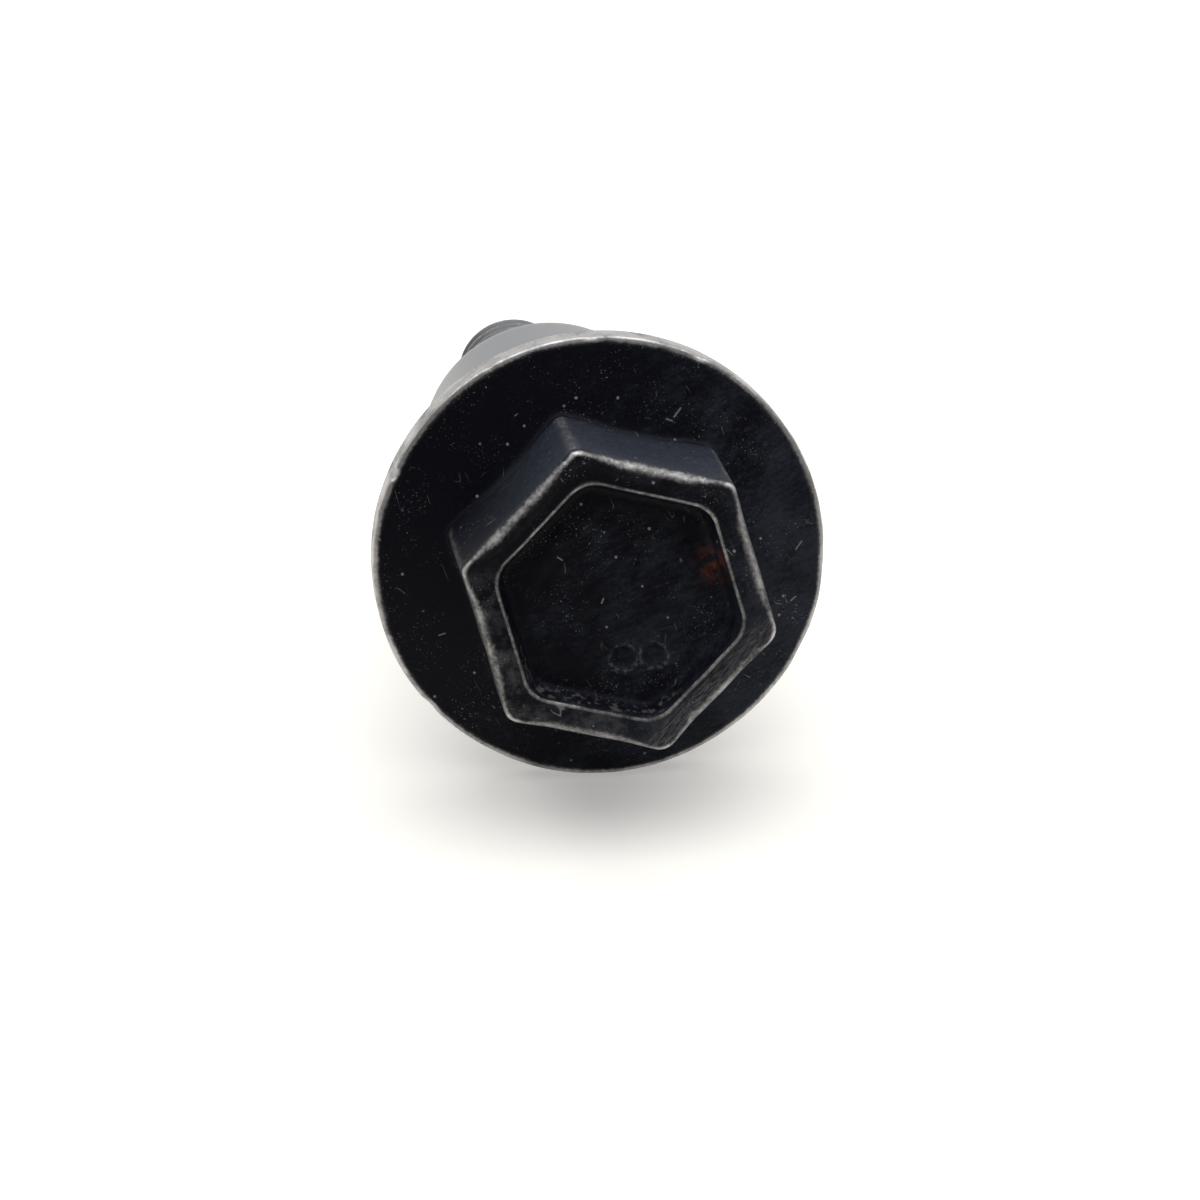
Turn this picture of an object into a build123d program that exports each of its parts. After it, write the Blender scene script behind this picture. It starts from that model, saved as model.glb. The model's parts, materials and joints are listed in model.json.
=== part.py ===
from build123d import *

import os
from math import asin, atan2, cos, degrees, hypot, radians, sin, tan

# A hex flange shoulder bolt: the pivot on which a chain guide swings. It is forged and
# turned in one piece. It lies as it comes to rest on a flat surface at Z = 0, with its
# head towards -Y and its shank sloping down towards +Y.

# ---------------------------------------------------------------- driving sizes, in mm
# Stations along the shank are counted from the bearing face under the flange.

hex_across_flats = 13.0
hex_corner_radius = 0.7            # of the six upright corners
hex_edge_radius = 0.5              # around the top face
hex_turn = -15.1                   # degrees from the X axis to the nearest corner
head_height = 9.5                  # from the bearing face to the top face

recess_across_flats = 10.2
recess_corner_radius = 1.4
recess_depth = 1.3
recess_draft = 12.0                # degrees that the walls lean in towards the floor
recess_rim_radius = 0.15
recess_floor_radius = 0.4

flange_diameter = 21.2
flange_rim_thickness = 1.5
flange_rim_radius = 0.15
flange_slope = 15.0                # degrees, rising from the rim to the hexagon
foot_radius = 0.3                  # where the hexagon grows out of the flange

shoulder_diameter = 12.9
shoulder_length = 21.5
shoulder_root_radius = 0.4         # against the bearing face
shoulder_end_radius = 0.3

neck_diameter = 5.3                # plain neck between the shoulder and the thread
neck_length = 1.4
neck_root_radius = 0.4             # leaves the bearing face clear of the thread

thread_diameter = 6.0              # over the crests; the thread is a plain cylinder here
thread_point_chamfer = 0.7
shank_length = 39.1                # from the bearing face to the end of the thread

# ------------------------------------------------------------- how the bolt comes to rest
# One contact is the rear edge of the flange rim. The other is the end edge of the
# shoulder or the point of the thread, whichever meets the surface first.

rim_contact_radius = flange_diameter / 2 - flange_rim_radius
rim_contact_station = -flange_rim_radius


def slope_onto(station, radius, rounding):
    """Slope, in radians, of a shank that rests on the rim and on a second round edge."""
    run = station - rim_contact_station
    drop = rim_contact_radius - radius
    return atan2(drop, run) + asin((flange_rim_radius - rounding) / hypot(run, drop))


slope_onto_shoulder = slope_onto(
    shoulder_length - shoulder_end_radius,
    shoulder_diameter / 2 - shoulder_end_radius,
    shoulder_end_radius,
)
slope_onto_thread = slope_onto(
    shank_length - thread_point_chamfer,
    thread_diameter / 2,
    0,
)
rest_slope = min(slope_onto_shoulder, slope_onto_thread)

seat_height = (
    rim_contact_radius * cos(rest_slope)
    + rim_contact_station * sin(rest_slope)
    + flange_rim_radius
)

# -------------------------------------------------------------------------- work planes

shank_direction = Vector(0, cos(rest_slope), -sin(rest_slope))
seat_centre = Vector(0, 0, seat_height)
shank_axis = Axis(seat_centre, shank_direction)

# In the section plane, X is the distance from the shank's axis and Y is the station.
section = Plane(
    origin=seat_centre,
    x_dir=(1, 0, 0),
    z_dir=Vector(1, 0, 0).cross(shank_direction),
)
head_top = Plane(
    origin=seat_centre - shank_direction * head_height,
    x_dir=(1, 0, 0),
    z_dir=-shank_direction,
)

# ---------------------------------------------------------------------- the turned form
# The flange's slope is carried on to a flat crown that lies inside the hexagon.

crown_radius = hex_across_flats / 2 - 2 * foot_radius
crown_rise = (flange_diameter / 2 - crown_radius) * tan(radians(flange_slope))
crown_height = flange_rim_thickness + crown_rise
neck_end = shoulder_length + neck_length
thread_runout = (thread_diameter - neck_diameter) / 2

# Corners of the half section: distance from the axis, station, rounding.
half_section = [
    (0, -crown_height, 0),
    (crown_radius, -crown_height, 0),
    (flange_diameter / 2, -flange_rim_thickness, flange_rim_radius),
    (flange_diameter / 2, 0, flange_rim_radius),
    (shoulder_diameter / 2, 0, shoulder_root_radius),
    (shoulder_diameter / 2, shoulder_length, shoulder_end_radius),
    (neck_diameter / 2, shoulder_length, neck_root_radius),
    (neck_diameter / 2, neck_end, 0),
    (thread_diameter / 2, neck_end + thread_runout, 0),
    (thread_diameter / 2, shank_length - thread_point_chamfer, 0),
    (thread_diameter / 2 - thread_point_chamfer, shank_length, 0),
    (0, shank_length, 0),
]

with BuildPart() as guide_bolt:
    with BuildSketch(section):
        with BuildLine():
            FilletPolyline(
                *[(radius, station) for radius, station, rounding in half_section],
                radius=[rounding for radius, station, rounding in half_section],
                close=True,
            )
        make_face()
    revolve(axis=shank_axis)

    # ------------------------------------------------------------------- the hexagon
    with BuildSketch(head_top):
        RegularPolygon(hex_across_flats / 2, 6, major_radius=False, rotation=hex_turn)
        fillet(vertices(), hex_corner_radius)
    extrude(amount=flange_rim_thickness - head_height)

    flange_top = faces().filter_by(GeomType.CONE).sort_by(SortBy.AREA)[-1]
    foot_edges = flange_top.edges().filter_by(
        lambda edge: edge.geom_type not in (GeomType.CIRCLE, GeomType.LINE)
    )
    fillet(foot_edges, foot_radius)
    fillet(faces().sort_by(shank_axis)[0].edges(), hex_edge_radius)

    # -------------------------------------------------------- the recess in the top face
    with BuildSketch(head_top):
        RegularPolygon(recess_across_flats / 2, 6, major_radius=False, rotation=hex_turn)
        fillet(vertices(), recess_corner_radius)
    extrude(amount=-recess_depth, taper=recess_draft, mode=Mode.SUBTRACT)

    top_face, recess_floor = (
        faces().filter_by(GeomType.PLANE).filter_by(shank_axis).sort_by(shank_axis)[:2]
    )
    fillet(top_face.inner_wires()[0].edges(), recess_rim_radius)
    fillet(recess_floor.edges(), recess_floor_radius)

# ------------------------------------------------------------------------------ finish
# The origin goes to the surface, under the middle of the bolt.

middle = guide_bolt.part.bounding_box().center().Y
guide_bolt.part = guide_bolt.part.translate((0, -middle, 0))
guide_bolt.part.label = "guide_bolt"

os.makedirs("parts", exist_ok=True)
export_step(guide_bolt.part, "parts/guide_bolt.step")

print(f"shank slopes down {degrees(rest_slope):.4f} degrees")
print(f"centre of the bearing face: Y {-middle:.4f}, Z {seat_height:.4f}")
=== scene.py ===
"""Looks of a worn black flange bolt, the pivot of a chain guide, lying on a pale floor.

Everything is laid out in the bolt's own frame: X to the right and Y up as the head is
faced, and Z out of the head along the shank. Its origin, the seat, is the middle of the
bearing face under the flange. Sizes are in millimetres until a mesh or a lamp is made.
"""

from __future__ import annotations

import json
import logging
import math
from dataclasses import dataclass, field
from enum import Enum

import bmesh
import bpy
import numpy as np
from mathutils import Matrix, Vector


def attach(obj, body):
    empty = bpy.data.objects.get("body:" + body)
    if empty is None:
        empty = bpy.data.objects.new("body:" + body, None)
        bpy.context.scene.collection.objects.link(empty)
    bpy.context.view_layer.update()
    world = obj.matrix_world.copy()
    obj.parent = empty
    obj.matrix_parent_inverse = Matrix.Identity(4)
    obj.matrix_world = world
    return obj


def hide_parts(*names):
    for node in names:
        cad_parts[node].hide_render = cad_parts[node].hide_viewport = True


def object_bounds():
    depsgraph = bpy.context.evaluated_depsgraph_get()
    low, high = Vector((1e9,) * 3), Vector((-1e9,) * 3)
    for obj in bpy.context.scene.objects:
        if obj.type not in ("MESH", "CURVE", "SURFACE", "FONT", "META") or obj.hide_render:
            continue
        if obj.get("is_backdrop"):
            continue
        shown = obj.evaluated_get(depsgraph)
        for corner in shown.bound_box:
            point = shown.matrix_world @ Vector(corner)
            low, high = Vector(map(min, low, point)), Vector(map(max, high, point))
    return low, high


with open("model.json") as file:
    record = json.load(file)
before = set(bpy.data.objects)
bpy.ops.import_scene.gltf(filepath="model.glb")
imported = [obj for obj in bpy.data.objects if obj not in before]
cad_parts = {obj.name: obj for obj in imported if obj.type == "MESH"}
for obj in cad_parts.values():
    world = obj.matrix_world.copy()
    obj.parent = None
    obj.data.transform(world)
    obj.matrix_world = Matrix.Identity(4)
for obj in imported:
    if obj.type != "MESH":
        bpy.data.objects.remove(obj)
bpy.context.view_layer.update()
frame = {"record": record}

MM = 0.001
WELD = 1e-7
TURN = 2 * math.pi
LOG = logging.getLogger("guide_bolt")

Colour = tuple[float, float, float]
Array = np.ndarray

# The two deep pits in the floor of the recess.
PITS = ((0.2, -3.0), (1.62, -2.95))


# ------------------------------------------------------------------------- the bolt's frame


@dataclass(frozen=True)
class BoltFrame:
    """Where the bolt lies in the model: its seat and its three directions."""

    seat: Vector
    right: Vector
    up: Vector
    out: Vector

    @classmethod
    def from_record(cls, record: dict, head_height: float) -> BoltFrame:
        """Find the bolt's frame from its mounts.

        Args:
            record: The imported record.
            head_height: Height of the head over the bearing face, in millimetres.

        Returns:
            The frame, with its origin in metres.
        """
        drive = next(m for m in record["mounts"] if m["name"] == "hex_drive")
        out = Vector(drive["axis"]).normalized()
        right = Vector((1, 0, 0))
        seat = Vector(drive["pos_m"]) - out * head_height * MM
        return cls(seat=seat, right=right, up=out.cross(right), out=out)

    def matrix(self) -> Matrix:
        """Return the matrix that takes millimetres in the bolt's frame to metres in the model."""
        turned = Matrix((self.right, self.up, self.out)).transposed() * MM
        return Matrix.Translation(self.seat) @ turned.to_4x4()

    def point(self, x: float, y: float, z: float) -> Vector:
        """Return a point of the bolt's frame, given in millimetres, in metres in the model."""
        return self.matrix() @ Vector((x, y, z))


# ------------------------------------------------------------------------------ shape maths


def smooth(values: Array, low: float, high: float) -> Array:
    """Return 0 below low and 1 above high, with a smooth step between them."""
    t = np.clip((values - low) / (high - low), 0, 1)
    return t * t * (3 - 2 * t)


def arc(centre: tuple[float, float], radius: float, start: float, end: float, steps: int) -> list:
    """Return points along an arc.

    Args:
        centre: Middle of the arc.
        radius: Radius of the arc.
        start: First angle, in degrees.
        end: Last angle, in degrees.
        steps: Number of points.

    Returns:
        Pairs of coordinates, both ends included.
    """
    angles = np.radians(np.linspace(start, end, steps))
    return [(centre[0] + radius * math.cos(a), centre[1] + radius * math.sin(a)) for a in angles]


@dataclass(frozen=True)
class Hexagon:
    """A hexagon with rounded corners, as a distance from the axis at each angle."""

    across_flats: float
    corner_radii: tuple[float, ...]
    turn: float

    def radius(self, angles: Array, inset: float = 0.0) -> Array:
        """Return the distance from the axis to the outline.

        Args:
            angles: Angles about the axis, in radians.
            inset: How far inside the outline the line runs.

        Returns:
            One distance for each angle.
        """
        sixth = TURN / 6
        from_first = (angles - math.radians(self.turn) + sixth / 2) % TURN
        corner = np.array(self.corner_radii)[(from_first // sixth).astype(int)] - inset
        corner = np.maximum(corner, 0.05)
        offset = np.abs(from_first % sixth - sixth / 2)
        apothem = self.across_flats / 2 - inset
        centre = (apothem - corner) / math.cos(sixth / 2)
        tangent = np.arctan2(corner * 0.5, centre + corner * math.cos(sixth / 2))
        inside = np.maximum(corner**2 - (centre * np.sin(offset)) ** 2, 0)
        rounded = centre * np.cos(offset) + np.sqrt(inside)
        flat = apothem / np.cos(sixth / 2 - offset)
        return np.where(offset < tangent, rounded, flat)


class Noise:
    """Smooth seeded noise on points, made of waves in random directions."""

    def __init__(self, seed: int, size: float, waves: int = 14) -> None:
        """Draw the waves.

        Args:
            seed: Seed of the random directions and phases.
            size: Typical size of one patch, in millimetres.
            waves: Number of waves.
        """
        draw = np.random.default_rng(seed)
        directions = draw.normal(size=(waves, 3))
        directions /= np.linalg.norm(directions, axis=1, keepdims=True)
        self.waves = directions * draw.uniform(0.5, 1.4, (waves, 1)) * math.pi / size
        self.phases = draw.uniform(0, TURN, waves)

    def __call__(self, points: Array) -> Array:
        """Return noise of about -1 to 1 at each point."""
        total = np.sin(points @ self.waves.T + self.phases).sum(axis=-1)
        return total / math.sqrt(len(self.phases))


# ------------------------------------------------------------------------------ mesh making


@dataclass
class Ring:
    """A ring of points about the axis, and how much each one is rubbed in use."""

    points: Array
    wear: float | Array = 0.0


class RingMesh:
    """A closed mesh built ring by ring from one end of the bolt to the other."""

    def __init__(self) -> None:
        """Start with no points."""
        self.points: list[Array] = []
        self.wear: list[Array] = []
        self.faces: list[tuple[int, ...]] = []
        self.count = 0
        self.last: Array | None = None

    def _add(self, ring: Ring) -> Array:
        """Store a ring and return its points' numbers.

        Args:
            ring: The ring.

        Returns:
            The numbers of its points.
        """
        size = len(ring.points)
        self.points.append(ring.points)
        self.wear.append(np.broadcast_to(ring.wear, (size,)))
        numbers = np.arange(self.count, self.count + size)
        self.count += size
        return numbers

    def tip(self, point: Array) -> None:
        """Start or close the mesh with a fan about one point.

        Args:
            point: The middle of the fan.
        """
        number = int(self._add(Ring(point.reshape(1, 3)))[0])
        if self.last is None:
            self.last = np.array([number])
            return
        ring = self.last
        self.faces += [(int(b), int(a), number) for a, b in zip(ring, np.roll(ring, -1))]

    def ring(self, ring: Ring) -> None:
        """Add a ring and join it to the last one.

        A ring may have as many points as the last one, or half as many.

        Args:
            ring: The ring, with its points in order about the axis.
        """
        new = self._add(ring)
        old = self.last
        self.last = new
        if len(old) == 1:
            self.faces += [(int(old[0]), int(a), int(b)) for a, b in zip(new, np.roll(new, -1))]
        elif len(old) == len(new):
            quads = zip(old, new, np.roll(new, -1), np.roll(old, -1))
            self.faces += [tuple(int(i) for i in quad) for quad in quads]
        else:
            starts, middles, ends = old[0::2], old[1::2], np.roll(old[0::2], -1)
            for a, m, b, c, d in zip(starts, middles, ends, new, np.roll(new, -1)):
                for triangle in ((a, c, m), (m, c, d), (m, d, b)):
                    self.faces.append(tuple(int(i) for i in triangle))

    def coil(self, helix: list[Ring], per_turn: int) -> None:
        """Add helical rows, in which each row's end meets the start of the row a turn on.

        Args:
            helix: The rows, in order along the shank.
            per_turn: Number of rows in one turn of the helix.
        """
        rows = [self._add(row) for row in helix]
        columns = len(rows[0])

        def number(row: int, column: int) -> int:
            """Return a point's number, where a row runs on into the row a turn later."""
            if column == columns:
                row, column = row + per_turn, 0
            row = min(max(row, 0), len(rows) - 1)
            return int(rows[row][column])

        for i in range(len(rows) - 1):
            for j in range(columns):
                quad = (number(i, j), number(i + 1, j), number(i + 1, j + 1), number(i, j + 1))
                if len(set(quad)) > 2:
                    self.faces.append(tuple(dict.fromkeys(quad)))
        first, last = rows[0], rows[-1]
        old = self.last
        for a, c, d, b in zip(old, first, np.roll(first, -1), np.roll(old, -1)):
            self.faces.append((int(a), int(c), int(d), int(b)))
        self.last = last

    def build(self, name: str, place: Matrix) -> bpy.types.Object:
        """Make the Blender object.

        Args:
            name: Name of the object and its mesh.
            place: Matrix from the bolt's frame to the model.

        Returns:
            The object, linked to the scene, with smooth faces.
        """
        matrix = np.array(place)
        points = np.concatenate(self.points) @ matrix[:3, :3].T + matrix[:3, 3]
        mesh = bpy.data.meshes.new(name)
        mesh.from_pydata(points.tolist(), [], self.faces)
        rubbed = mesh.attributes.new("wear", "FLOAT", "POINT")
        rubbed.data.foreach_set("value", np.concatenate(self.wear).astype(np.float32))
        welded = bmesh.new()
        welded.from_mesh(mesh)
        bmesh.ops.remove_doubles(welded, verts=welded.verts, dist=WELD)
        welded.to_mesh(mesh)
        welded.free()
        mesh.validate()
        mesh.polygons.foreach_set("use_smooth", [True] * len(mesh.polygons))
        made = bpy.data.objects.new(name, mesh)
        bpy.context.scene.collection.objects.link(made)
        return made


# ------------------------------------------------------------------------------ damage


@dataclass(frozen=True)
class Dent:
    """A spot where metal was pushed in or knocked off."""

    x: float
    y: float
    z: float
    size: float
    depth: float

    def push(self, points: Array, inwards: Array) -> Array:
        """Move points inwards near the dent.

        Args:
            points: Points in the bolt's frame.
            inwards: Unit directions along which metal gives way.

        Returns:
            The moved points.
        """
        away = np.linalg.norm(points - np.array((self.x, self.y, self.z)), axis=1)
        give = 1 - smooth(away, 0.25 * self.size, self.size)
        return points + inwards * (give * self.depth)[:, None]


def at_angle(radius: float, degrees: float, z: float) -> tuple[float, float, float]:
    """Return a point from its distance from the axis, its angle and its height."""
    a = math.radians(degrees)
    return radius * math.cos(a), radius * math.sin(a), z


# ------------------------------------------------------------------------------- the bolt


@dataclass
class Head:
    """The indented hexagonal head on its round sloping flange."""

    height: float = 9.5
    turn: float = -15.1
    across_flats: float = 13.0
    corner_radii: tuple[float, ...] = (0.9, 0.5, 0.7, 0.5, 0.8, 0.9)
    edge_radius_at_corner: float = 0.32
    edge_radius_between: float = 0.66
    side_hollow: float = 0.18
    recess_across_flats: float = 10.2
    recess_corner_radius: float = 1.4
    recess_depth: float = 1.3
    recess_draft: float = 12.0
    recess_rim_radius: float = 0.15
    recess_floor_radius: float = 0.4
    flange_radius: float = 10.6
    rim_thickness: float = 1.5
    rim_radius: float = 0.15
    flange_slope: float = 15.0
    foot_radius: float = 0.34
    columns: int = 480
    angles: Array = field(init=False)

    def __post_init__(self) -> None:
        """Work out the angles of the rings' points."""
        self.angles = np.arange(self.columns) * TURN / self.columns

    @property
    def hexagon(self) -> Hexagon:
        """Return the outline of the head."""
        return Hexagon(self.across_flats, self.corner_radii, self.turn)

    @property
    def recess(self) -> Hexagon:
        """Return the outline of the recess at the top face."""
        return Hexagon(self.recess_across_flats, (self.recess_corner_radius,) * 6, self.turn)

    def ring(self, radius: Array | float, z: Array | float, wear: Array | float = 0.0) -> Ring:
        """Return a ring from distances from the axis, heights and how much it is rubbed.

        Args:
            radius: Distances from the axis.
            z: Heights.
            wear: How much each point is rubbed.

        Returns:
            The ring.
        """
        radius = np.broadcast_to(radius, self.angles.shape)
        z = np.broadcast_to(z, self.angles.shape)
        x, y = radius * np.cos(self.angles), radius * np.sin(self.angles)
        return Ring(np.stack((x, y, z), axis=1), wear)

    def from_corner(self) -> Array:
        """Return how far each point lies from the nearest corner of the hexagon, in degrees."""
        turned = np.degrees(self.angles) - self.turn
        return np.abs((turned + 30) % 60 - 30)

    def edge_radius(self) -> Array:
        """Return the radius of the top's outer edge, which is smallest at the corners."""
        between = smooth(self.from_corner(), 2.5, 17.0)
        return self.edge_radius_at_corner + between * (
            self.edge_radius_between - self.edge_radius_at_corner
        )

    def hollow(self, z: Array | float) -> Array:
        """Return how far the sides are drawn in between the corners at a height."""
        between = smooth(self.from_corner(), 5.0, 24.0)
        return self.side_hollow * between * (1 - smooth(z, 6.2, 8.9))

    def flange_height(self, radius: Array | float) -> Array | float:
        """Return the height of the flange's sloping face at a distance from the axis."""
        slope = math.tan(math.radians(self.flange_slope))
        return self.rim_thickness + (self.flange_radius - radius) * slope

    def recess_rings(self) -> list[Ring]:
        """Return the rings of the recess, from the middle of its floor to its rim.

        Returns:
            The rings, in order.
        """
        floor = self.height - self.recess_depth
        draft = math.tan(math.radians(self.recess_draft))
        foot_inset = (self.recess_depth - self.recess_floor_radius) * draft
        floor_inset = foot_inset + self.recess_floor_radius
        edge = self.recess.radius(self.angles, floor_inset)
        rings = []
        for part in np.linspace(0.03, 1, 34)[:-1]:
            shape = part**2 * edge + (1 - part**2) * edge.min()
            rings.append(self.ring(part * shape, floor))
        for across, rise in arc((0, self.recess_floor_radius), self.recess_floor_radius, -90, 0, 6):
            radius = self.recess.radius(self.angles, floor_inset - across)
            rings.append(self.ring(radius, floor + rise))
        top = self.height - self.recess_rim_radius
        for z in np.linspace(floor + self.recess_floor_radius, top, 5)[1:-1]:
            inset = (self.height - z) * draft
            rings.append(self.ring(self.recess.radius(self.angles, inset), z))
        centre = (self.recess_rim_radius, -self.recess_rim_radius)
        for across, rise in arc(centre, self.recess_rim_radius, 180, 90, 6):
            radius = self.recess.radius(self.angles, -across)
            wear = smooth(rise, -0.9 * self.recess_rim_radius, -0.2 * self.recess_rim_radius)
            rings.append(self.ring(radius, self.height + rise, wear * 0.72))
        return rings

    def land_rings(self) -> list[Ring]:
        """Return the rings of the flat land between the recess and the outer edge.

        Returns:
            The rings, in order.
        """
        inner = self.recess.radius(self.angles, -self.recess_rim_radius)
        outer = self.hexagon.radius(self.angles, self.edge_radius())
        rings = []
        for part in np.linspace(0, 1, 8)[1:-1]:
            rings.append(self.ring(inner + part * (outer - inner), self.height, 0.34 * part**2))
        return rings

    def side_rings(self) -> list[Ring]:
        """Return the rings of the rounded outer edge and the sides of the hexagon.

        Returns:
            The rings, in order.
        """
        rings = []
        edge = self.edge_radius()
        corner = smooth(self.from_corner(), 4.0, 0.8)
        for turned in range(90, -1, -6):
            inset = edge * (1 - math.cos(math.radians(turned)))
            rise = edge * (1 - math.sin(math.radians(turned)))
            wear = (0.78 + 0.25 * corner) * math.exp(-(((turned - 45) / 36) ** 2))
            radius = self.hexagon.radius(self.angles, inset) - self.hollow(self.height - rise)
            rings.append(self.ring(radius, self.height - rise, wear))
        side = self.hexagon.radius(self.angles)
        foot = self.flange_height(side) + self.foot_radius * 0.77
        top = self.height - edge
        for part in np.linspace(0, 1, 20)[1:]:
            z = top + part * (foot - top)
            rings.append(self.ring(side - self.hollow(z), z, corner * 0.5))
        return rings

    def flange_rings(self) -> list[Ring]:
        """Return the rings from the foot of the hexagon over the flange to its underside.

        Returns:
            The rings, in order.
        """
        rings = []
        side = self.hexagon.radius(self.angles) - self.hollow(0.0)
        corner = self.flange_height(side)
        reach = self.foot_radius * 0.77
        slope = math.tan(math.radians(self.flange_slope))
        for t in np.linspace(0, 1, 6)[1:]:
            out = side + reach * t**2
            rings.append(self.ring(out, corner + reach * (1 - t) ** 2 - slope * reach * t**2))
        start = side + reach
        rim = self.flange_radius - self.rim_radius
        for part in np.linspace(0, 1, 16)[1:-1]:
            radius = start + part * (rim - start)
            rings.append(self.ring(radius, self.flange_height(radius)))
        for across, rise in arc((rim, self.rim_thickness - self.rim_radius), self.rim_radius, 82, 0, 6):
            rings.append(self.ring(across, rise, 1.0))
        for z in np.linspace(self.rim_thickness - self.rim_radius, self.rim_radius, 7)[1:-1]:
            rings.append(self.ring(self.flange_radius, z, 1.0))
        for across, rise in arc((rim, self.rim_radius), self.rim_radius, 0, -90, 6):
            rings.append(self.ring(across, rise, 0.9))
        return rings

    def worn(self, points: Array) -> Array:
        """Give a ring of the head its uneven forged surface, its dents and its pits.

        Args:
            points: One ring of points.

        Returns:
            The same points, moved.
        """
        z = points[:, 2]
        radius = np.hypot(points[:, 0], points[:, 1])
        outwards = points * np.array((1, 1, 0)) / np.maximum(radius, 0.01)[:, None]
        axial = np.array((0.0, 0.0, 1.0))

        waviness = Noise(11, 3.2)(points) * 0.02 + Noise(12, 0.9)(points) * 0.006
        at_rim = smooth(radius, 9.9, 10.5)
        moved = points + outwards * (waviness * (1 - at_rim))[:, None]

        out_of_round = Noise(13, 4.0)(points) * 0.022 + Noise(14, 0.7)(points) * 0.006
        fuller = 0.015 + 0.05 * smooth(points[:, 1], -9.8, -6.0)
        moved += outwards * ((out_of_round + fuller) * at_rim)[:, None]

        in_recess = (1 - smooth(radius, 3.9, 4.4)) * (1 - smooth(z, 8.3, 8.5)) * (z > 7)
        floor = Noise(15, 0.55)(points) * 0.022 + Noise(16, 1.6)(points) * 0.03
        moved += axial * (floor * in_recess)[:, None]

        on_land = smooth(z, 9.3, 9.5)
        moved += axial * ((Noise(17, 0.8)(points) * 0.008 - 0.008) * on_land)[:, None]

        for dent in self.edge_dents():
            moved = dent.push(moved, -outwards * 0.8 - axial * 0.6)
        for pit in self.floor_pits():
            moved = pit.push(moved, np.broadcast_to(-axial, moved.shape) * in_recess[:, None])
        return moved

    def edge_dents(self) -> list[Dent]:
        """Return the knocks on the rim of the flange and on the edges of the hexagon."""
        return [
            Dent(*at_angle(self.flange_radius, 154.7, 1.35), size=0.42, depth=0.16),
            Dent(*at_angle(self.flange_radius, 91.0, 1.4), size=0.3, depth=0.05),
            Dent(*at_angle(self.flange_radius, 118.0, 1.4), size=0.35, depth=0.05),
            Dent(*at_angle(self.flange_radius, 63.0, 1.4), size=0.4, depth=0.06),
            Dent(*at_angle(self.flange_radius, -4.0, 1.0), size=1.8, depth=0.05),
            Dent(*at_angle(self.flange_radius, -27.0, 1.0), size=1.3, depth=0.04),
            Dent(*at_angle(self.flange_radius, -141.0, 1.3), size=0.6, depth=0.07),
            Dent(6.05, -2.6, 9.4, size=0.5, depth=0.2),
            Dent(5.6, -3.25, 9.45, size=0.35, depth=0.1),
            Dent(3.2, -5.6, 9.4, size=0.38, depth=0.14),
            Dent(4.4, -4.7, 9.45, size=0.3, depth=0.07),
            Dent(-5.9, -2.4, 9.45, size=0.3, depth=0.06),
            Dent(-2.2, 6.8, 9.4, size=0.35, depth=0.07),
        ]

    def floor_pits(self) -> list[Dent]:
        """Return the shallow forging pits in the floor of the recess."""
        z = self.height - self.recess_depth
        return [
            Dent(*PITS[0], z, size=0.78, depth=0.34),
            Dent(*PITS[1], z, size=0.80, depth=0.32),
            Dent(-2.3, 1.1, z, size=0.4, depth=0.05),
            Dent(1.2, 2.1, z, size=0.5, depth=0.05),
            Dent(-1.1, -0.8, z, size=0.35, depth=0.05),
            Dent(2.9, -0.4, z, size=0.4, depth=0.05),
        ]

    def lay(self, mesh: RingMesh) -> None:
        """Add the head to the mesh, from the recess to the underside of the flange.

        Args:
            mesh: Mesh that gets the rings.
        """
        rings = self.recess_rings() + self.land_rings() + self.side_rings() + self.flange_rings()
        middle = np.array((0, 0, self.height - self.recess_depth))
        mesh.tip(self.worn(middle.reshape(1, 3)))
        for ring in rings:
            mesh.ring(Ring(self.worn(ring.points), ring.wear))


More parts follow.
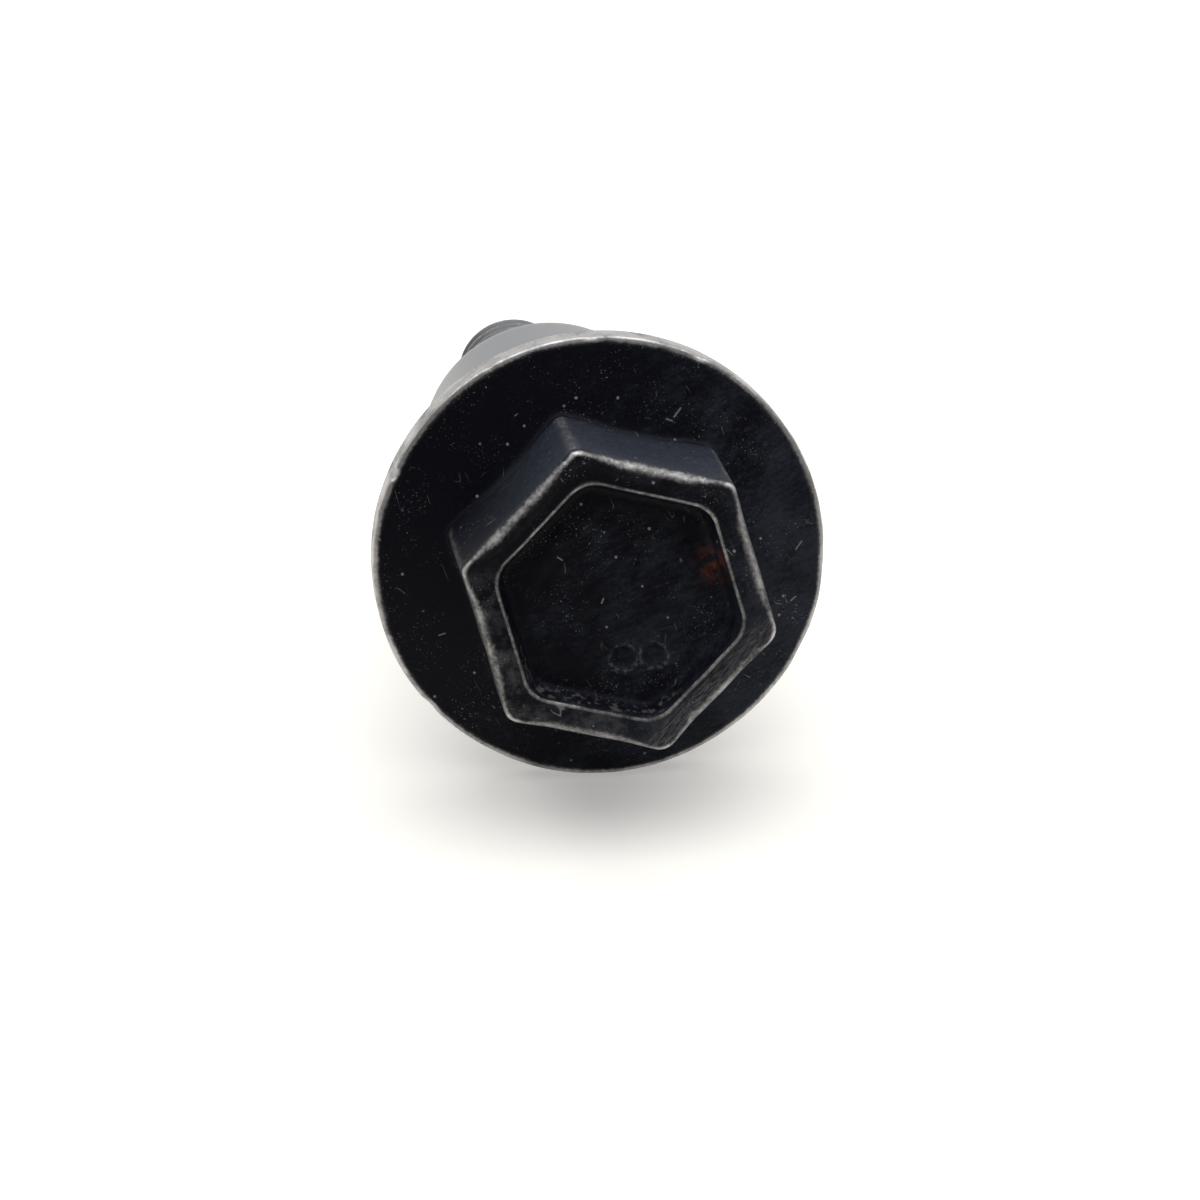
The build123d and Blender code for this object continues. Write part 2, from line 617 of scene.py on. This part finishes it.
@dataclass
class Shank:
    """The smooth shoulder, the neck and the threaded end."""

    shoulder_radius: float = 6.45
    shoulder_length: float = 21.5
    root_radius: float = 0.4
    end_radius: float = 0.3
    neck_radius: float = 2.65
    neck_length: float = 1.4
    neck_root_radius: float = 0.4
    thread_radius: float = 3.0
    pitch: float = 1.0
    point_chamfer: float = 0.7
    length: float = 39.1
    flange_radius: float = 10.6
    thread_depth: float = 0.61
    crest_half: float = 0.07
    root_start: float = 0.40
    run_in: float = 1.3
    profile_places: tuple[float, ...] = (0.0, 0.07, 0.18, 0.29, 0.40, 0.5, 0.60, 0.71, 0.82, 0.93)
    shoulder_columns: int = 240
    thread_columns: int = 120

    def ring(self, radius: float, z: float, columns: int, wear: float = 0.0) -> Ring:
        """Return a round ring, with the faint waviness of a drawn and turned surface.

        Args:
            radius: Distance from the axis.
            z: Height.
            columns: Number of points.
            wear: How much it is rubbed.

        Returns:
            The ring.
        """
        angles = np.arange(columns) * TURN / columns
        x, y = radius * np.cos(angles), radius * np.sin(angles)
        points = np.stack((x, y, np.full(columns, z)), axis=1)
        outwards = points * np.array((1, 1, 0)) / radius
        wave = Noise(21, 5.0)(points) * 0.008 - 0.008
        return Ring(points + outwards * wave[:, None], wear)

    def thread_radius_at(self, phase: Array, z: Array) -> Array:
        """Return the thread's distance from the axis.

        Args:
            phase: Place across one pitch, where 0 is the middle of a crest.
            z: Height in the bolt's frame.

        Returns:
            One distance for each point.
        """
        across = np.abs((phase + 0.5) % 1 - 0.5)
        flank = np.clip((across - self.crest_half) / (self.root_start - self.crest_half), 0, 1)
        full = self.thread_radius - self.thread_depth * self.pitch * flank
        start = -(self.shoulder_length + self.neck_length)
        fade = smooth(start - z, 0.0, self.run_in)
        point = self.thread_radius - np.maximum(self.point_chamfer - (z + self.length), 0)
        return np.minimum(self.neck_radius + (full - self.neck_radius) * fade, point)

    def thread_rows(self) -> list[Ring]:
        """Return the helical rows of the thread, clamped to its two ends.

        Returns:
            The rows, in order along the shank.
        """
        top = -(self.shoulder_length + self.neck_length)
        low = -self.length
        columns = np.arange(self.thread_columns + 1)
        angles = columns * TURN / self.thread_columns
        turns = math.ceil((top - low) / self.pitch) + 1
        stations = [turn + place for turn in range(turns) for place in self.profile_places]
        rows = []
        for station in [*stations, float(turns)]:
            raw = top + self.pitch - self.pitch * (station + columns / self.thread_columns)
            z = np.clip(raw, low, top)
            radius = self.thread_radius_at(station + (raw - z) / self.pitch, z)
            points = np.stack((radius * np.cos(angles), radius * np.sin(angles), z), axis=1)
            crest = smooth(radius, self.thread_radius - 0.12, self.thread_radius)
            rows.append(Ring(points[:-1], crest[:-1] * 0.6))
        return rows

    def lay(self, mesh: RingMesh) -> None:
        """Add the shank to the mesh, from the bearing face to the end of the thread.

        Args:
            mesh: Mesh that gets the rings.
        """
        many = self.shoulder_columns
        few = self.thread_columns
        start = self.shoulder_radius + self.root_radius
        for radius in np.linspace(self.flange_radius - 0.3, start, 9):
            mesh.ring(self.ring(radius, 0, many))
        for across, rise in arc((start, -self.root_radius), self.root_radius, 90, 180, 6)[1:]:
            mesh.ring(self.ring(across, rise, many))
        end = self.shoulder_length - self.end_radius
        for z in np.linspace(self.root_radius, end, 42)[1:]:
            mesh.ring(self.ring(self.shoulder_radius, -z, many))
        corner = self.shoulder_radius - self.end_radius
        for across, rise in arc((corner, -end), self.end_radius, 0, -90, 7)[1:]:
            mesh.ring(self.ring(across, rise, many, 0.7))
        root = self.neck_radius + self.neck_root_radius
        for radius in np.linspace(corner, root, 8)[1:]:
            mesh.ring(self.ring(radius, -self.shoulder_length, few))
        centre = (root, -self.shoulder_length - self.neck_root_radius)
        for across, rise in arc(centre, self.neck_root_radius, 90, 180, 6)[1:]:
            mesh.ring(self.ring(across, rise, few))
        neck_end = self.shoulder_length + self.neck_length
        mesh.ring(self.ring(self.neck_radius, -neck_end + 0.2, few))
        mesh.coil(self.thread_rows(), len(self.profile_places))
        for radius in (1.6, 0.8):
            mesh.ring(self.ring(radius, -self.length, few))
        mesh.tip(np.array((0, 0, -self.length)))


# ------------------------------------------------------------------------------ shader maths


class Value:
    """An output socket that takes part in Python arithmetic."""

    def __init__(self, graph: Graph, socket: bpy.types.NodeSocket) -> None:
        """Keep the socket and the graph that it belongs to."""
        self.graph = graph
        self.socket = socket

    def _math(self, operation: str, *operands: Value | float) -> Value:
        """Add one Math node."""
        return self.graph.node("ShaderNodeMath", list(operands), operation=operation)

    def __add__(self, other: Value | float) -> Value:
        """Add a socket or a number."""
        return self._math("ADD", self, other)

    def __radd__(self, other: float) -> Value:
        """Add to a number."""
        return self._math("ADD", other, self)

    def __sub__(self, other: Value | float) -> Value:
        """Take away a socket or a number."""
        return self._math("SUBTRACT", self, other)

    def __rsub__(self, other: float) -> Value:
        """Take away from a number."""
        return self._math("SUBTRACT", other, self)

    def __mul__(self, other: Value | float) -> Value:
        """Multiply by a socket or a number."""
        return self._math("MULTIPLY", self, other)

    def __rmul__(self, other: float) -> Value:
        """Multiply a number."""
        return self._math("MULTIPLY", other, self)

    def __abs__(self) -> Value:
        """Drop the sign."""
        return self._math("ABSOLUTE", self)

    def root(self) -> Value:
        """Return the square root."""
        return self._math("SQRT", self)

    def least(self, other: Value | float) -> Value:
        """Return the smaller of two."""
        return self._math("MINIMUM", self, other)

    def most(self, other: Value | float) -> Value:
        """Return the larger of two."""
        return self._math("MAXIMUM", self, other)

    def step(self, low: float, high: float) -> Value:
        """Return a smooth step from 0 at low to 1 at high, or falling where low is larger."""
        if low > high:
            return 1 - self.step(high, low)
        return self.graph.node(
            "ShaderNodeMapRange",
            {"Value": self, "From Min": low, "From Max": high},
            interpolation_type="SMOOTHSTEP",
        )

    def near(self, target: float, reach: float) -> Value:
        """Return 1 at a value, falling smoothly to 0 at some reach from it."""
        return abs(self - target).step(reach, 0.0)


class Graph:
    """A node tree that is filled through one method."""

    def __init__(self, tree: bpy.types.NodeTree) -> None:
        """Empty the tree."""
        self.tree = tree
        tree.nodes.clear()

    def add(self, kind: str, inputs: dict | list | None = None, **settings: object) -> bpy.types.Node:
        """Add a node.

        Args:
            kind: Type of the node.
            inputs: Values or links of its sockets, by name or number, or in order.
            settings: Its properties, set before its sockets.

        Returns:
            The node.
        """
        made = self.tree.nodes.new(kind)
        for name, value in settings.items():
            setattr(made, name, value)
        given = dict(enumerate(inputs)) if isinstance(inputs, list) else inputs or {}
        for key, value in given.items():
            if isinstance(value, Value):
                self.tree.links.new(value.socket, made.inputs[key])
            else:
                made.inputs[key].default_value = value
        return made

    def node(
        self,
        kind: str,
        inputs: dict | list | None = None,
        output: str | int = 0,
        **settings: object,
    ) -> Value:
        """Add a node and return one of its outputs.

        Args:
            kind: Type of the node.
            inputs: Values or links of its sockets.
            output: Name or number of the output.
            settings: Its properties.

        Returns:
            The output, ready for arithmetic.
        """
        return Value(self, self.add(kind, inputs, **settings).outputs[output])

    def blend(self, factor: Value | float, low: Value | Colour, high: Value | Colour) -> Value:
        """Mix two colours."""
        low, high = (c if isinstance(c, Value) else (*c, 1.0) for c in (low, high))
        return self.node(
            "ShaderNodeMix", {0: factor, 6: low, 7: high}, output=2, data_type="RGBA"
        )

    def dot(self, vector: Value, direction: Vector) -> Value:
        """Return the part of a vector along a direction."""
        return self.node(
            "ShaderNodeVectorMath",
            {0: vector, 1: tuple(direction)},
            output="Value",
            operation="DOT_PRODUCT",
        )

    def vector(self, x: Value | float, y: Value | float, z: Value | float) -> Value:
        """Return a vector of three parts."""
        return self.node("ShaderNodeCombineXYZ", [x, y, z])

    def noise(self, place: Value, size: float, detail: float = 2.0, rough: float = 0.5) -> Value:
        """Return noise of 0 to 1 with patches of about the given size."""
        inputs = {"Vector": place, "Scale": 1 / size, "Detail": detail, "Roughness": rough}
        return self.node("ShaderNodeTexNoise", inputs)

    def dots(self, place: Value, size: float) -> Value:
        """Return the distance to scattered points, as a part of the given size."""
        return self.node("ShaderNodeTexVoronoi", {"Vector": place, "Scale": 1 / size})


class BoltPlace:
    """Where a shaded point lies on the bolt, in millimetres in its own frame."""

    def __init__(self, graph: Graph, lies: BoltFrame) -> None:
        """Work out the point's coordinates.

        Args:
            graph: Graph that gets the nodes.
            lies: The bolt's frame in the model.
        """
        self.graph = graph
        point = graph.node("ShaderNodeTexCoord", output="Object")
        seat = {0: point, 1: tuple(lies.seat)}
        offset = graph.node("ShaderNodeVectorMath", seat, operation="SUBTRACT")
        self.x = graph.dot(offset, lies.right / MM)
        self.y = graph.dot(offset, lies.up / MM)
        self.z = graph.dot(offset, lies.out / MM)
        self.place = graph.vector(self.x, self.y, self.z)
        self.radius = (self.x * self.x + self.y * self.y).root()

    def along(self, degrees: float) -> Value:
        """Return how far the point lies from the axis in one direction."""
        a = math.radians(degrees)
        return self.x * math.cos(a) + self.y * math.sin(a)

    def outside_hexagon(self, across_flats: float, turn: float) -> Value:
        """Return the distance outside a hexagon, negative inside it."""
        sides = [abs(self.along(turn + 30 + 60 * k)) for k in range(3)]
        return sides[0].most(sides[1]).most(sides[2]) - across_flats / 2

    def to_point(self, x: float, y: float, z: float) -> Value:
        """Return the distance to a point."""
        a, b, c = self.x - x, self.y - y, self.z - z
        return (a * a + b * b + c * c).root()


# --------------------------------------------------------------------------------- finishes


@dataclass(frozen=True)
class Fibre:
    """A short pale fibre or scratch on the face of the head or the flange."""

    x: float
    y: float
    lean: float
    length: float
    width: float = 0.05

    def over(self, at: BoltPlace) -> Value:
        """Return 1 on the fibre.

        Args:
            at: Where the shaded point lies.

        Returns:
            The mask.
        """
        a = math.radians(self.lean)
        along = at.along(self.lean) - (self.x * math.cos(a) + self.y * math.sin(a))
        across = at.along(self.lean + 90) - (self.y * math.cos(a) - self.x * math.sin(a))
        beyond = (abs(along) - self.length / 2).most(0.0)
        return (beyond * beyond + across * across).root().step(self.width, self.width * 0.4)


@dataclass(frozen=True)
class BlackenedSteel:
    """A thin black film on forged steel, rubbed through to bare metal along the edges."""

    film: Colour = (0.0030, 0.0032, 0.0060)
    # Pale blue film colour, also used for painted light: the right of the flange, the upper right sides
    # and the top of the foot.
    film_pale_and_painted_light: Colour = (0.022, 0.026, 0.037)
    rubbed: Colour = (0.13, 0.128, 0.132)
    bare: Colour = (0.46, 0.45, 0.44)
    ground: Colour = (0.195, 0.199, 0.208)
    # Dust colour, also used for the painted highlight round the lips of the deep pits.
    dust_and_pit_highlight: Colour = (0.30, 0.31, 0.33)
    rust: Colour = (0.11, 0.028, 0.016)
    film_roughness: float = 0.50
    bare_roughness: float = 0.38
    ground_roughness: float = 0.30
    specular: float = 0.07
    fibres: tuple[Fibre, ...] = (
        Fibre(9.4, 0.2, 50.0, 0.45),
        Fibre(9.1, -2.4, 35.0, 0.3),
        Fibre(3.7, 7.0, 48.0, 0.5, 0.06),
        Fibre(3.3, 6.7, -20.0, 0.3),
        Fibre(-2.6, 1.9, -35.0, 0.26),
        Fibre(-0.7, -0.2, 65.0, 0.22),
        Fibre(-7.6, -3.1, 20.0, 0.3),
    )

    def dress(self, piece: bpy.types.Object, lies: BoltFrame, head: Head) -> None:
        """Give the piece its material.

        Args:
            piece: The bolt.
            lies: The bolt's frame in the model.
            head: The head, whose sizes place the marks.
        """
        material = bpy.data.materials.new("blackened_steel")
        material.use_nodes = True
        graph = Graph(material.node_tree)
        at = BoltPlace(graph, lies)
        wear = graph.node("ShaderNodeAttribute", output="Fac", attribute_name="wear")

        bare = self.bare_metal(graph, at, wear)
        rubbed = self.rubbed_film(graph, at, head, wear)
        shoulder = at.z.step(-0.1, -0.6) * at.radius.step(5.7, 6.3)
        ground = shoulder.most(at.z.step(-21.6, -22.4) * 0.6)
        # Dust specks, plus a painted highlight round the lips of the deep pits.
        dust_and_pit_highlight = self.dust_and_pit_lip_highlight(graph, at)
        rust = self.rust_patch(graph, at)
        grain = graph.noise(at.place, 0.16, detail=3.0, rough=0.65)

        # The pale film mixes real thin patches with painted light on the right of the flange, on the
        # upper right sides and along the top of the foot.
        colour = graph.blend(self.pale_film_and_painted_light_mask(graph, at, head, grain), self.film, self.film_pale_and_painted_light)
        colour = graph.blend(rubbed, colour, self.rubbed)
        colour = graph.blend(ground, colour, self.ground)
        colour = graph.blend(bare, colour, self.bare)
        colour = graph.blend(rust, colour, self.rust)
        colour = graph.blend(dust_and_pit_highlight, colour, self.dust_and_pit_highlight)

        roughness = self.film_roughness + (grain - 0.5) * 0.25
        roughness = roughness * (1 - bare) + bare * self.bare_roughness
        roughness = roughness * (1 - ground) + ground * self.ground_roughness
        height = self.relief(graph, at, grain, ground)
        bump = graph.node("ShaderNodeBump", {"Height": height, "Distance": MM, "Strength": 1.0})
        shader = graph.node(
            "ShaderNodeBsdfPrincipled",
            {
                "Base Color": colour,
                "Metallic": bare.most(rubbed * 0.5).most(ground * 0.85) * (1 - rust.most(dust_and_pit_highlight)),
                "Roughness": roughness,
                "Normal": bump,
                "Specular IOR Level": self.specular,
            },
        )
        graph.add("ShaderNodeOutputMaterial", [shader])
        piece.data.materials.append(material)

    def pale_film_and_painted_light_mask(self, graph: Graph, at: BoltPlace, head: Head, grain: Value) -> Value:
        """Return where the film is thin and slightly blue, with painted light mixed in: the patches
        take a painted drift that makes them paler towards the right of the flange, the sides of the
        hexagon are painted paler towards the upper right where the light falls, and the upper part of
        the hexagon's foot gets a painted highlight.

        Args:
            graph: Graph that gets the nodes.
            at: Where the shaded point lies.
            head: The head, whose sizes place the marks.
            grain: Fine noise that the maps share.

        Returns:
            The mask.
        """
        cloud = graph.noise(at.place, 2.4, detail=4.0, rough=0.6)
        fibres = graph.noise(graph.vector(at.along(20.0) * 0.3, at.along(110.0), at.z), 0.22, 3.0)
        # Painted light: a drift that makes the film paler towards the right, standing in for light
        # reflected onto that side of the flange.
        painted_light_drift = at.along(-25.0) * 0.022
        patches_and_painted_drift = (cloud * 0.7 + fibres * 0.35 + grain * 0.35 + painted_light_drift).step(0.62, 1.05)
        sides = at.z.step(2.4, 3.4) * at.z.step(head.height, head.height - 0.7)
        sides = sides * at.outside_hexagon(head.across_flats, head.turn).step(-0.7, -0.3)
        # Painted light: only the sides towards the upper right, where the light falls, get the pale
        # film.
        sides = sides * at.along(50.0).step(-3.5, 4.5)
        mottled = (fibres * 1.1 + grain * 1.9 - 0.65).least(1.3).most(0.1)
        # Painted highlight along the foot of the hexagon, kept to its upper side below.
        foot = at.z.near(2.95, 0.4) * at.radius.step(7.9, 7.3) * 0.8
        return patches_and_painted_drift.most(sides * mottled).most(foot * at.along(80.0).step(1.0, 4.0))

    def bare_metal(self, graph: Graph, at: BoltPlace, wear: Value) -> Value:
        """Return where the film is rubbed off: edges, the rim and thin scratches.

        Args:
            graph: Graph that gets the nodes.
            at: Where the shaded point lies.
            wear: How much the surface is rubbed in use.

        Returns:
            The mask.
        """
        patches = graph.noise(at.place, 1.3, detail=3.0)
        nibbled = graph.noise(at.place, 0.20, detail=3.0, rough=0.6)
        edges = (wear * (0.5 + patches * 0.85) + (nibbled - 0.5) * 0.6).step(0.36, 1.15)
        stretched = graph.vector(at.x * 0.9 + at.y * 0.5, at.y * 0.16 - at.x * 0.3, at.z)
        contour = abs(graph.noise(stretched, 0.9, detail=1.0) - 0.5).step(0.010, 0.0)
        broken = graph.noise(at.place, 1.3).step(0.60, 0.72)
        return (edges * wear.step(0.03, 0.3)).most(contour * broken * 0.3)

    def rubbed_film(self, graph: Graph, at: BoltPlace, head: Head, wear: Value) -> Value:
        """Return where the film is only rubbed grey: beside the edges and on the lands.

        Args:
            graph: Graph that gets the nodes.
            at: Where the shaded point lies.
            head: The head, whose sizes place the marks.
            wear: How much the surface is rubbed in use.

        Returns:
            The mask.
        """
        blotches = graph.noise(at.place, 0.95, detail=5.0, rough=0.65)
        on_top = at.z.step(head.height - 0.35, head.height - 0.05)
        lower_left = at.along(225.0).step(1.0, 5.6)
        lower = at.along(285.0).step(3.6, 6.0) * 0.5
        lands = on_top * lower_left.most(lower) * blotches.step(0.40, 0.72) * 0.42
        side = head.turn - 30
        lines = graph.vector(at.along(side + 90) * 0.12, at.along(side), at.z * 0.2)
        streaks = graph.noise(lines, 0.07, detail=4.0, rough=0.65).step(0.36, 0.70)
        outer = at.along(side).step(4.9, 5.8) * on_top
        beside = wear.step(0.0, 0.7) * blotches.step(0.30, 0.75) * 0.4
        wall = at.outside_hexagon(head.recess_across_flats, head.turn).near(-0.18, 0.28)
        wall = wall * at.z.step(8.2, 8.6) * at.z.step(9.4, 9.2) * at.along(250.0).step(2.5, 4.5)
        wall = wall * graph.noise(at.place, 0.35, detail=3.0).step(0.52, 0.66)
        return lands.most(streaks * outer * 0.7).most(beside).most(wall)

    def dust_and_pit_lip_highlight(self, graph: Graph, at: BoltPlace) -> Value:
        """Return small pale specks and short fibres scattered over the head and the face of the flange,
        and a painted highlight in a broken ring round the lip of each deep pit.

        Args:
            graph: Graph that gets the nodes.
            at: Where the shaded point lies.

        Returns:
            The mask.
        """
        few = graph.noise(at.place, 1.9, detail=3.0).step(0.42, 0.66)
        small = graph.noise(at.place, 0.085, detail=1.0).step(0.66, 0.77) * few * 0.6
        larger = graph.dots(at.place, 1.3).step(0.075, 0.03) * 0.7
        specks = small.most(larger)
        for lean, size in ((35.0, 0.42), (-48.0, 0.5)):
            drawn = graph.vector(at.along(lean) * 0.3, at.along(lean + 90), at.z)
            some = graph.noise(drawn, 0.9).step(0.57, 0.66)
            specks = specks.most(graph.dots(drawn, size).step(0.11, 0.04) * some * 0.4)
        for fibre in self.fibres:
            specks = specks.most(fibre.over(at) * 0.5)
        # Painted highlight: a broken pale ring round the lip of each deep pit, where light catches its
        # edge.
        for x, y in PITS:
            painted_pit_lip = at.to_point(x, y, 8.1).near(0.64, 0.15)
            specks = specks.most(painted_pit_lip * graph.noise(at.place, 0.22, detail=3.0).step(0.42, 0.66) * 0.22)
        return specks * at.z.step(0.4, 1.4)

    def rust_patch(self, graph: Graph, at: BoltPlace) -> Value:
        """Return the rust against one wall of the recess."""
        spot = at.to_point(4.55, 1.35, 8.5).step(1.35, 0.3) * at.z.step(9.45, 9.3)
        return spot * graph.noise(at.place, 0.75, detail=4.0, rough=0.6).step(0.44, 0.62) * 0.8

    def relief(self, graph: Graph, at: BoltPlace, grain: Value, ground: Value) -> Value:
        """Return the fine relief of the surface, in millimetres.

        Args:
            graph: Graph that gets the nodes.
            at: Where the shaded point lies.
            grain: Fine noise that the maps share.
            ground: Where the surface is ground smooth.

        Returns:
            The height.
        """
        turned = graph.vector(at.radius * 2.2, at.z * 2.2, 0.0)
        lathe = graph.noise(turned, 0.35, detail=2.0) * 0.003
        lumps = graph.noise(at.place, 0.55, detail=2.0) * 0.016
        return (grain * 0.016 + lumps) * (1 - ground * 0.85) + lathe


class Ray(Enum):
    """Kinds of ray that a background may answer to, by their Light Path outputs."""

    CAMERA = "Is Camera Ray"
    GLOSSY = "Is Glossy Ray"
    THROUGH = "Is Transmission Ray"


def seen_by(graph: Graph, *kinds: Ray) -> Value:
    """Return 1 for rays of the given kinds.

    Args:
        graph: Graph that gets the nodes.
        kinds: Kinds of ray.

    Returns:
        1 for those rays and 0 for others.
    """
    rays = graph.add("ShaderNodeLightPath")
    values = [Value(graph, rays.outputs[kind.value]) for kind in kinds]
    seen = values[0]
    for value in values[1:]:
        seen = seen.most(value)
    return seen


@dataclass(frozen=True)
class PaleFloor:
    """A matt white floor that the camera and mirror-like faces see as white."""

    colour: Colour = (0.87, 0.842, 0.785)
    glow: float = 0.31

    def dress(self, piece: bpy.types.Object) -> None:
        """Give the floor its material."""
        material = bpy.data.materials.new("pale_floor")
        material.use_nodes = True
        graph = Graph(material.node_tree)
        matt = graph.node("ShaderNodeBsdfDiffuse", {"Color": (*self.colour, 1)})
        strength = seen_by(graph, Ray.CAMERA, Ray.GLOSSY, Ray.THROUGH) * self.glow
        glow = graph.node("ShaderNodeEmission", {"Color": (1, 1, 1, 1), "Strength": strength})
        both = graph.node("ShaderNodeAddShader", [matt, glow])
        graph.add("ShaderNodeOutputMaterial", [both])
        piece.data.materials.append(material)


# ---------------------------------------------------------------------------------- staging


@dataclass
class Studio:
    """A small pale floor, a white surround that is dim in front, a soft lamp and the camera."""

    floor_size: float = 0.24
    surround: float = 0.45
    front_level: float = 0.02
    lamp_size: float = 1.5
    lamp_height: float = 0.9
    lamp_offset: tuple[float, float] = (0.06, 0.08)
    lamp_power: float = 11.8
    heading: float = 7.02
    elevation: float = 26.55
    distance: float = 0.2227
    lens: float = 142.3
    flange_above_middle: float = 0.001965

    def lay_floor(self, height: float) -> None:
        """Lay the floor at the bolt's lowest point.

        Args:
            height: Height of the floor, in metres.
        """
        bpy.ops.mesh.primitive_plane_add(size=self.floor_size, location=(0, 0, height))
        floor = bpy.context.object
        floor.name = "floor"
        PaleFloor().dress(floor)
        floor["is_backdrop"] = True

    def light_surround(self) -> None:
        """Make a surround that is white to look at, and dim in front where a viewer stands."""
        world = bpy.data.worlds.new("surround")
        world.use_nodes = True
        bpy.context.scene.world = world
        graph = Graph(world.node_tree)
        ray = graph.node("ShaderNodeTexCoord", output="Generated")
        front = graph.dot(ray, Vector((0, -1, 0)))
        up = graph.dot(ray, Vector((0, 0, 1)))
        facing = (front - up * 0.55).step(0.0, 0.5)
        shown = 1 - facing * (1 - self.front_level)
        camera = seen_by(graph, Ray.CAMERA, Ray.THROUGH)
        glossy = seen_by(graph, Ray.GLOSSY)
        fill = shown * self.surround * (1 - camera)
        strength = camera.most(shown * glossy).most(fill)
        background = graph.node("ShaderNodeBackground", {"Color": (1, 1, 1, 1), "Strength": strength})
        graph.add("ShaderNodeOutputWorld", [background])

    def hang_lamp(self, aim: Vector) -> None:
        """Hang one large soft lamp overhead.

        Args:
            aim: Point that it faces, in metres.
        """
        data = bpy.data.lights.new("overhead_lamp", "AREA")
        data.size = self.lamp_size
        data.energy = self.lamp_power
        lamp = bpy.data.objects.new("overhead_lamp", data)
        lamp.location = aim + Vector((*self.lamp_offset, self.lamp_height))
        bpy.context.scene.collection.objects.link(lamp)

    def place_camera(self, flange: Vector) -> None:
        """Place the camera so that the flange is just above the middle of the picture.

        Args:
            flange: Centre of the flange's front edge, in metres.
        """
        data = bpy.data.cameras.new("camera")
        data.sensor_width = 36.0
        data.lens = self.lens
        data.clip_start = 0.01
        camera = bpy.data.objects.new("camera", data)
        turn, fall = math.radians(self.heading), math.radians(self.elevation)
        level = math.cos(fall)
        ahead = Vector((math.sin(turn) * level, math.cos(turn) * level, -math.sin(fall)))
        rotation = ahead.to_track_quat("-Z", "Y")
        up = rotation @ Vector((0, 1, 0))
        camera.rotation_mode = "QUATERNION"
        camera.rotation_quaternion = rotation
        camera.location = flange - ahead * self.distance - up * self.flange_above_middle
        bpy.context.scene.collection.objects.link(camera)
        bpy.context.scene.camera = camera

    def set_up(self, lies: BoltFrame, head: Head) -> None:
        """Build the whole studio about the bolt.

        Args:
            lies: The bolt's frame in the model.
            head: The head.
        """
        self.lay_floor(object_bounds()[0].z)
        self.light_surround()
        self.hang_lamp(lies.seat)
        self.place_camera(lies.point(0, 0, head.rim_thickness))
        bpy.context.scene.view_settings.view_transform = "Standard"


# -------------------------------------------------------------------------------------- main


def make_bolt(lies: BoltFrame, head: Head, shank: Shank) -> bpy.types.Object:
    """Build the bolt in one piece and let it stand for its solid.

    Args:
        lies: The bolt's frame in the model.
        head: The head and flange.
        shank: Everything behind the flange.

    Returns:
        The bolt.
    """
    mesh = RingMesh()
    head.lay(mesh)
    shank.lay(mesh)
    bolt = mesh.build("guide_bolt_forged", lies.matrix())
    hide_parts("guide_bolt")
    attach(bolt, "root")
    LOG.info("%s: %d faces", bolt.name, len(bolt.data.polygons))
    return bolt


def main() -> None:
    """Build the bolt, dress it and set up the studio."""
    head = Head()
    lies = BoltFrame.from_record(frame["record"], head.height)
    bolt = make_bolt(lies, head, Shank())
    BlackenedSteel().dress(bolt, lies, head)
    Studio().set_up(lies, head)
    LOG.info("studio ready")


if __name__ == "__main__":
    logging.basicConfig(level=logging.INFO, format="%(name)s: %(message)s")
    main()
